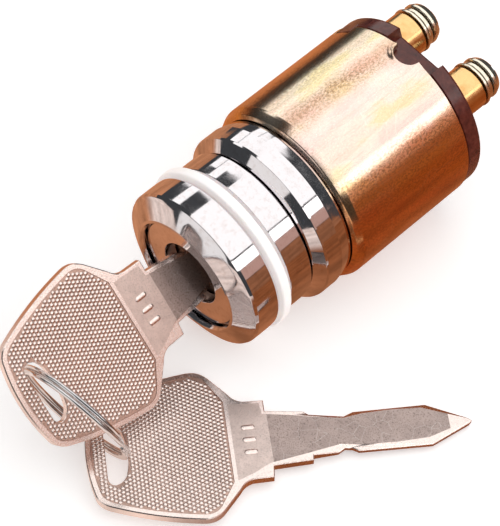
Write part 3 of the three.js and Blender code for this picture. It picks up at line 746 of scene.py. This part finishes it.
def switch_can():
    """The drawn can. Its rear rim dips at a half-moon notch with a turned-up lip, and at the base's tab."""
    start = CAN_REAR - 5.0      # the wall is finely divided from here to the rim, to follow the notches
    lip_height, lip_place, lip_width = 0.3, 0.25, 0.45

    def rim_depth(angle):
        """How far the rim dips at an angle."""
        arc = angle_gap(angle, HALF_MOON_ANGLE) * CAN_RADIUS
        moon = math.sqrt(max(0.0, HALF_MOON_RADIUS ** 2 - arc ** 2))
        tab = TAB_DEPTH if abs(angle_gap(angle, TAB_ANGLE)) * CAN_RADIUS < TAB_HALF - 0.01 else 0.0
        return max(moon, tab)

    def warp(radius, station, angle):
        if station > start:
            station = start + (station - start) * (1 - rim_depth(angle) / (CAN_REAR - start))
        arc = angle_gap(angle, HALF_MOON_ANGLE) * CAN_RADIUS
        off = math.hypot(arc, station - CAN_REAR) - HALF_MOON_RADIUS
        if radius > CAN_RADIUS - 0.5 and station > start:
            radius += lip_height * math.exp(-((off - lip_place) / lip_width) ** 2)
        return radius, station

    inner = CAN_RADIUS - CAN_WALL
    rear = [(CAN_RADIUS, start + 0.25 * k, 0) for k in range(19)]
    return turned(soften([
        (CAN_MOUTH, CAN_FRONT), (VALLEY_RADIUS + 0.1, CAN_FRONT, 0.15), (15.35, CAN_FRONT + 0.35, 0.5),
        (CAN_RADIUS, CAN_FRONT + 1.6, 1.3), *rear, (CAN_RADIUS, CAN_REAR, 0.14), (inner, CAN_REAR, 0.1),
        (inner, CAN_FRONT + CAN_WALL + 0.5, 0.4), (CAN_MOUTH, CAN_FRONT + CAN_WALL),
    ]), angles=can_angles(), warp=warp)


# ------------ terminal base and terminals
def base_angles():
    """Even angles, with corners where the collar's flats begin and end."""
    angles = even_angles()
    extra = []
    for degrees, reach, half in COLLAR_FLATS:
        for side in (-1, 1):
            edge = math.radians(degrees) + side * math.atan2(half, reach)
            extra += [edge - 0.03 * side, edge, edge + 0.015 * side]
    kept = [a for a in angles if all(abs(angle_gap(a, e)) > 0.014 for e in extra)]
    return sorted(kept + [e % math.tau for e in extra])


def terminal_base():
    """The moulded base: a disc inside the can and a collar outside it, cut back at two places.

    Behind it stand the terminals' pads and three ribs. A tab fills the can's square notch.
    """
    inner = CAN_RADIUS - CAN_WALL - FIT

    def warp(radius, station, angle):
        """Cuts the collar back to its flats."""
        if station < CAN_REAR + 0.25 or radius < 12.5:
            return radius, station
        for degrees, reach, half in COLLAR_FLATS:
            gap = angle_gap(angle, math.radians(degrees))
            if abs(gap) < math.atan2(half, reach) + 0.001:
                radius = min(radius, reach / math.cos(gap) - (COLLAR_RADIUS - radius) * 0.25)
        return radius, station

    floor, sunk = BASE_REAR - 0.9, 0.5
    base = turned(soften([
        (0, BASE_FRONT), (inner, BASE_FRONT), (inner, CAN_REAR + 0.2), (inner, CAN_REAR + 0.28),
        (COLLAR_RADIUS, CAN_REAR + 0.3, 0.15), (COLLAR_RADIUS, BASE_REAR, 0.6), (13.0, BASE_REAR, 0.25),
        (12.7, floor, 0.2), (4.9, floor, 0.2), (4.6, BOSS_REAR, 0.25), (0, BOSS_REAR),
    ]), angles=base_angles(), warp=warp)
    tools, holes = [], []
    for degrees, _ in TERMINALS:
        x, z = terminal_place(degrees)
        pad = turned(soften([(0, floor - sunk), (PAD_RADIUS, floor - sunk),
                             (PAD_RADIUS - 0.2, BASE_REAR, 0.2), (0, BASE_REAR)]), 48)
        hole = turned([(0, BASE_FRONT - 1), (POST_HOLE, BASE_FRONT - 1),
                       (POST_HOLE, BOSS_REAR + 1), (0, BOSS_REAR + 1)], 32)
        for each in (pad, hole):
            bmesh.ops.translate(each, vec=(x, 0, z), verts=each.verts)
        tools.append(pad)
        holes.append(hole)
    for degrees, reach in ((81, 12.4), (183, 13.0), (318, 13.0)):
        rib = box_mesh(4.0, reach, floor - sunk, BASE_REAR - 0.15, -0.6, 0.6, 0.15)
        tools.append(spun(rib, math.radians(degrees)))
    tab = box_mesh(inner - 0.6, CAN_RADIUS - 0.15, CAN_REAR - TAB_DEPTH + 0.35, CAN_REAR + 0.9,
                   -TAB_HALF + 0.35, TAB_HALF - 0.35, 0.2)
    tools.append(spun(tab, TAB_ANGLE))
    return combined(combined(base, tools, "UNION"), holes)


def terminal_place(degrees):
    """A terminal's x and z from the switch axis."""
    angle = math.radians(degrees)
    return TERMINAL_CIRCLE * math.cos(angle), TERMINAL_CIRCLE * math.sin(angle)


def terminal_post(rear):
    """A brass post with a thin groove, a shank through the base and a headed inner end."""
    shank, bore, waist = 1.8, 1.7, POST_RADIUS - 0.13
    return turned(soften([
        (0, 41.8), (2.6, 41.8, 0.1), (2.6, 42.6, 0.1), (shank, 42.6), (shank, POST_FRONT),
        (POST_RADIUS, POST_FRONT, 0.15), (POST_RADIUS, POST_FRONT + 0.55, 0.05),
        (waist, POST_FRONT + 0.65, 0.05), (waist, POST_FRONT + 0.8, 0.05),
        (POST_RADIUS, POST_FRONT + 0.9, 0.05), (POST_RADIUS, rear, 0.2),
        (bore, rear, 0.1), (bore, POST_FRONT + 0.8), (0, POST_FRONT + 0.8),
    ]), 96)


def washer(front, size, rounding):
    radius, thick = size
    return turned(soften([(WASHER_BORE, front), (radius, front, rounding),
                          (radius, front + thick, rounding), (WASHER_BORE, front + thick)]), 96)


def flat_washer(post_rear):
    return washer(post_rear + FIT, FLAT_WASHER, 0.16)


def lock_washer(post_rear):
    """A split spring washer."""
    front = post_rear + 2 * FIT + FLAT_WASHER[1]
    return combined(washer(front, LOCK_WASHER, 0.15), [box_mesh(0, 5, front - 1, front + 2, -0.2, 0.2)])


def terminal_screw(post_rear):
    """A slotted screw with a domed head."""
    under = post_rear + 3 * FIT + FLAT_WASHER[1] + LOCK_WASHER[1]
    top = under + 2.35
    screw = turned(soften([
        (0, POST_FRONT + 1.1), (1.4, POST_FRONT + 1.1), (1.4, under), (3.5, under, 0.1),
        (3.65, under + 0.2, 0.1), (3.65, under + 0.6, 0.2), (3.2, under + 1.55, 0.8),
        (2.0, top - 0.05, 0.9), (0, top),
    ], 5), 120)
    return combined(screw, [box_mesh(-0.42, 0.42, top - 0.95, top + 1, -5, 5)])


# ------------ keys
def trace(start, *moves):
    """Points along lines (x, y) and quadratic curves (control x, control y, x, y)."""
    points = [Vector(start)]
    for move in moves:
        if len(move) == 2:
            points.append(Vector(move))
            continue
        first, control, last = points[-1], Vector(move[:2]), Vector(move[2:])
        for k in range(1, 9):
            t = k / 8
            points.append(first * (1 - t) ** 2 + control * (2 * t * (1 - t)) + last * t ** 2)
    return points


def key_outline():
    """The key's outline, counter-clockwise: length along x from the shoulder, width along y."""
    return trace(
        (0, 6.9), (-3.2, 7.0), (-4.6, 7.3, -5.3, 8.5), (-8.1, 11.8), (-9.4, 13.3, -11.4, 13.1),
        (-18.4, 12.2, -24.9, 9.6), (-26.8, 8.9, -27.3, 7.4), (-29.2, 0, -27.3, -7.4),
        (-26.8, -8.9, -24.9, -9.6), (-18.4, -12.2, -11.4, -13.1), (-9.4, -13.3, -8.1, -11.8),
        (-5.3, -8.5), (-4.6, -7.3, -3.2, -7.0), (0, -6.9),
        (0.2, -4.9), (6.4, -4.55), (6.5, -3.7), (10.4, -3.52), (11.5, -2.8), (12.7, -3.0), (13.6, -3.56),
        (25.1, -3.6), (31.3, -0.5), (31.8, 0), (31.3, 0.5), (25.0, 3.6), (13.6, 3.5), (12.1, 2.85),
        (6.7, 3.6), (5.9, 4.2), (0, 4.9))


def slot_outline():
    """The ring slot, counter-clockwise: straight outside, bellied inside, with round ends."""
    return trace((-25.2, 3.6), (-25.2, -4.4), (-25.1, -5.6, -24.1, -5.7), (-22.9, -5.5, -22.3, -4.2),
                 (-21.2, -0.4, -22.3, 3.4), (-22.9, 4.7, -24.1, 4.9), (-25.1, 4.8, -25.2, 3.6))[:-1]


def field_outline():
    """The knurled field inside the bow's polished border."""
    return trace((-6.2, 7.2), (-8.6, 11.2), (-9.6, 12.55, -11.4, 12.3), (-18.3, 11.4, -24.6, 8.9),
                 (-26.2, 8.2, -26.5, 7.1), (-28.4, 0, -26.5, -7.1), (-26.2, -8.2, -24.6, -8.9),
                 (-18.3, -11.4, -11.4, -12.3), (-9.6, -12.55, -8.6, -11.2), (-6.2, -7.2))


def spine_outline():
    """The flat middle of the neck and the blade, between the blade's milled edges."""
    return trace((-5.6, 6.7), (-5.6, -7.0), (-2.9, -5.9), (-0.4, -4.5), (5.9, -3.3), (10.8, -2.3),
                 (15.2, -2.75), (19.7, -2.85), (24.7, -2.55), (28.2, -1.3), (28.2, 1.3),
                 (24.2, 2.9), (19.5, 3.05), (15.0, 2.85), (12.0, 2.35), (7.7, 2.95), (3.8, 3.75),
                 (-0.5, 4.4), (-0.7, 6.4))


def inset(points, distance):
    """A counter-clockwise outline moved inwards."""
    moved = []
    for i, here in enumerate(points):
        into = (here - points[i - 1]).normalized()
        out = (points[(i + 1) % len(points)] - here).normalized()
        first, second = Vector((-into.y, into.x)), Vector((-out.y, out.x))
        middle = (first + second).normalized()
        moved.append(here + middle * (distance / max(0.5, middle.dot(first))))
    return moved


def inside(point, outline):
    """Whether a point is inside a closed outline."""
    hit = False
    for i, a in enumerate(outline):
        b = outline[i - 1]
        if (a.y > point.y) != (b.y > point.y):
            if point.x < (b.x - a.x) * (point.y - a.y) / (b.y - a.y) + a.x:
                hit = not hit
    return hit


def dome(mesh, x, y, base, way):
    """One small round bump of the knurl, closed below."""
    sides = 8
    turns = [math.tau * k / sides for k in range(sides)]
    rings = []
    for wide, high in ((1.0, -0.02), (0.92, BUMP_HEIGHT * 0.45), (0.55, BUMP_HEIGHT * 0.86)):
        r, z = BUMP_RADIUS * wide, base + way * high
        rings.append([mesh.verts.new((x + r * math.cos(t), y + r * math.sin(t), z)) for t in turns])
    top = mesh.verts.new((x, y, base + way * BUMP_HEIGHT))
    mesh.faces.new(rings[0])
    for a, b in zip(rings, rings[1:]):
        bridge(mesh, a, b)
    for k in range(sides):
        mesh.faces.new((rings[-1][k], rings[-1][(k + 1) % sides], top))


def stamped_mark(mesh, centre, half_length, base, way):
    """A raised bar with round ends, along the key, in place of a digit."""
    width, height = 0.42, 0.16
    steps = 6
    rings = []
    for grow, h in ((1.0, -0.05), (1.0, height * 0.5), (0.75, height * 0.9), (0.35, height)):
        ring = []
        for end in (1, -1):
            for k in range(steps + 1):
                turn = math.pi * k / steps + (0 if end > 0 else math.pi)
                ring.append(mesh.verts.new((centre.x - end * half_length - width * grow * math.sin(turn),
                                            centre.y + width * grow * math.cos(turn), base + way * h)))
        rings.append(ring)
    mesh.faces.new(rings[0])
    mesh.faces.new(rings[-1])
    for a, b in zip(rings, rings[1:]):
        bridge(mesh, a, b)


# the fourth metal covers the knurl field's sunken floor and its wall; its darker, browner colour is painted
# shade in that recess
BORDER_METAL, MATTE_METAL, BLADE_METAL, SHADED_PIT_METAL = 0, 1, 2, 3


def key_mesh():
    """A key: bevelled plate, knurled bow inside a polished border, flat neck, blade with milled edges."""
    mesh = bmesh.new()
    outline, slot, field, spine = key_outline(), slot_outline(), field_outline(), spine_outline()
    bevel, recess, slope = 0.14, 0.13, 0.08
    half = KEY_THICK / 2
    rims, slots = [], []

    def loop(points, heights):
        """Vertices over an outline, at one height or at a height each."""
        if isinstance(heights, float):
            heights = [heights] * len(points)
        return [mesh.verts.new((p.x, p.y, h)) for p, h in zip(points, heights)]

    def fill(loops, metal=BORDER_METAL):
        """A flat face over the first loop, with the others as holes."""
        flat = [v for each in loops for v in each]
        for triangle in tessellate_polygon([[Vector((v.co.x, v.co.y, 0)) for v in each] for each in loops]):
            corners = [flat[i] for i in triangle]
            if len(set(corners)) == 3:
                mesh.faces.new(corners).material_index = metal

    for way in (1, -1):
        top = way * half
        floor = way * (half - recess)
        milled = [min(1.0, max(0.0, (p.x - MILL_START) / MILL_RUN)) for p in outline]
        edge = [way * (half - MILL_DEPTH * share) for share in milled]
        rim = loop(outline, [h - way * bevel for h in edge])
        brow = loop(inset(outline, bevel), edge)
        bridge(mesh, rim, brow)
        field_edge = loop(field, top)
        field_foot = loop(inset(field, slope), floor)
        bridge(mesh, field_edge, field_foot, SHADED_PIT_METAL)
        spine_edge = loop(spine, top)
        fill([brow, field_edge, spine_edge])
        fill([spine_edge], MATTE_METAL)
        slot_edge = loop(inset(slot, -slope), floor)
        slot_rim = loop(slot, floor - way * slope)
        bridge(mesh, slot_edge, slot_rim)
        fill([field_foot, slot_edge], SHADED_PIT_METAL)
        rims.append(rim)
        slots.append(slot_rim)

        allowed, barred = inset(field, 0.36), inset(slot, -0.35)
        for column in range(40):
            x = -28.0 + column * KNURL_PITCH * math.sqrt(3) / 2
            for row in range(-20, 21):
                point = Vector((x, (row + 0.5 * (column % 2)) * KNURL_PITCH))
                if inside(point, allowed) and not inside(point, barred):
                    dome(mesh, point.x, point.y, floor, way)
        for across in MARKS:
            stamped_mark(mesh, Vector((-3.0, across)), 0.65, top, way)
    bridge(mesh, *rims)
    bridge(mesh, *slots)
    flat = [face for face in mesh.faces if face.material_index == MATTE_METAL]
    parts = set(flat) | {e for f in flat for e in f.edges} | {v for f in flat for v in f.verts}
    bmesh.ops.bisect_plane(mesh, geom=list(parts), plane_co=(NECK_END, 0, 0), plane_no=(1, 0, 0),
                           dist=1e-5)
    for face in mesh.faces:
        if face.material_index == MATTE_METAL and face.calc_center_median().x > NECK_END:
            face.material_index = BLADE_METAL
    return mesh


def basis(length, width):
    """A turn that takes x to length, y to width and z to their normal."""
    normal = length.cross(width)
    return Matrix((length, width, normal)).transposed()


def lock_key_turn():
    return basis(Vector((0, 1, 0)), Vector((math.cos(KEY_ANGLE), 0, math.sin(KEY_ANGLE))))


def spare_key_turn():
    length = Vector((math.cos(SPARE_HEADING) * math.cos(SPARE_TILT),
                     math.sin(SPARE_HEADING) * math.cos(SPARE_TILT), -math.sin(SPARE_TILT)))
    return basis(length, Vector((-math.sin(SPARE_HEADING), math.cos(SPARE_HEADING), 0)))


# ------------ split ring
def split_ring():
    """Two flat coils of oval wire, which step over from one to the other on the way round."""
    mesh = bmesh.new()
    rounds, corners = 300, 16
    rings = []
    for i in range(rounds):
        t = i / (rounds - 1) * RING_CLOSED
        share = min(1, max(0, (t - RING_STEP) / RING_STEP_RUN))
        along = (share * share * (3 - 2 * share) - 0.5) * RING_PITCH
        outward = Vector((math.cos(t * 4 * math.pi), math.sin(t * 4 * math.pi), 0))
        centre = outward * RING_RADIUS + Vector((0, 0, along))
        taper = min(1.0, 0.55 + 0.45 * min(i, rounds - 1 - i) / 3)
        ring = []
        for j in range(corners):
            turn = math.tau * j / corners
            point = centre + outward * (math.cos(turn) * RING_RADIAL / 2 * taper)
            point.z += math.sin(turn) * RING_AXIAL / 2 * taper
            ring.append(mesh.verts.new(point))
        rings.append(ring)
    for a, b in zip(rings, rings[1:]):
        bridge(mesh, b, a)
    mesh.faces.new(rings[0])
    mesh.faces.new(list(reversed(rings[-1])))
    return mesh


# ------------ the whole object
def dress_hidden_works(finishes):
    """Every listed CAD node that stays gets its material; the key plug's brass is darkened as painted shade
    for the inside of the key hole.
    """
    wanted = {
        "key_plug": "shade_darkened_brass", "plug_clip": "spring", "return_spring": "spring", "detent_plate": "steel",
        "rotor": "rotor", "contact_bridge": "copper", "wafer": "brass", "wafer_spring": "spring",
        "detent_ball": "steel", "detent_spring": "spring", "contact_spring": "spring",
    }
    for name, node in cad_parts.items():
        stem = name.rstrip("0123456789").rstrip("_")
        if node.hide_render or stem not in wanted:
            continue
        node.data.materials.clear()
        node.data.materials.append(finishes[wanted[stem]])


def build():
    finishes = {
        "chrome": chrome(),
        "chromate": chromate(),
        "border": nickel("nickel_polished", (0.88, 0.76, 0.71), 0.24, 0.30, 0.30, 0.12),
        "matte": nickel("nickel_matte", (0.74, 0.61, 0.56), 0.36, 0.16, 0.75, 0.36),
        "blade": nickel("nickel_worn", (0.46, 0.37, 0.34), 0.38, 0.22, 0.9, 0.3, 0.32),
        # the knurl floor between the bumps: darker, browner nickel as painted shade in the recess
        "pits": nickel("nickel_pits_painted_shade", (0.62, 0.43, 0.36), 0.42, 0.25, 0.4, 0.3),
        # the key plug, deep in the key hole: brass darkened as painted shade
        "shade_darkened_brass": brass("shade_darkened_brass", (0.30, 0.19, 0.13), 0.38),
        "wire": nickel("ring_nickel", (0.84, 0.83, 0.83), 0.14, 0.5, 0.08, 0.10),
        "brass": brass(),
        "copper": brass("copper_alloy", (0.86, 0.46, 0.27), 0.25),
        "screw": steel("plated_screw", (0.96, 0.88, 0.72), 0.22),
        "steel": steel("bright_steel", (0.62, 0.62, 0.64), 0.25),
        "spring": steel("spring_steel", (0.36, 0.36, 0.38), 0.32),
        "nylon": nylon(),
        "bakelite": bakelite(),
        "rotor": rotor_plastic(),
    }
    for node, mesh, slot, finish in (
            ("bezel_nut", bezel_nut(), "chrome", "chrome"),
            ("lock_barrel", lock_barrel(), "chrome", "chrome"),
            ("panel_washer", panel_washer(), "nylon", "nylon"),
            ("back_nut", back_nut(), "chrome", "chrome"),
            ("switch_can", switch_can(), "zinc_can", "chromate"),
            ("terminal_base", terminal_base(), "bakelite", "bakelite")):
        add_piece(node, mesh, SWITCH, "housing", slot, finishes[finish])
    for i, (degrees, rear) in enumerate(TERMINALS):
        x, z = terminal_place(degrees)
        screwed_round = 0.7 * i + 0.5
        place = SWITCH @ Matrix.Translation((x, 0, z)) @ Matrix.Rotation(screwed_round, 4, "Y")
        add_piece(f"terminal_post_{i + 1}", terminal_post(rear), place, "housing", "brass",
                  finishes["brass"])
        for stem, shape in (("terminal_washer", flat_washer), ("lock_washer", lock_washer),
                            ("terminal_screw", terminal_screw)):
            add_piece(f"{stem}_{i + 1}", shape(rear), place, "housing", "terminal_hardware",
                      finishes["screw"])

    metals = [finishes[name] for name in ("border", "matte", "blade", "pits")]
    for node, body, turn in (("key_1", "lock_key", lock_key_turn()),
                             ("key_2", "spare_key", spare_key_turn())):
        mesh = key_mesh()
        add_piece(node, mesh, place_like(node, mesh, turn), body, "nickel_key", *metals)
    ring = split_ring()
    turn = Vector((0, 0, 1)).rotation_difference(RING_NORMAL).to_matrix()
    add_piece("key_ring", ring, place_like("key_ring", ring, turn), "ring", "nickel_key",
              finishes["wire"])
    dress_hidden_works(finishes)


add_camera()
add_stage()
build()
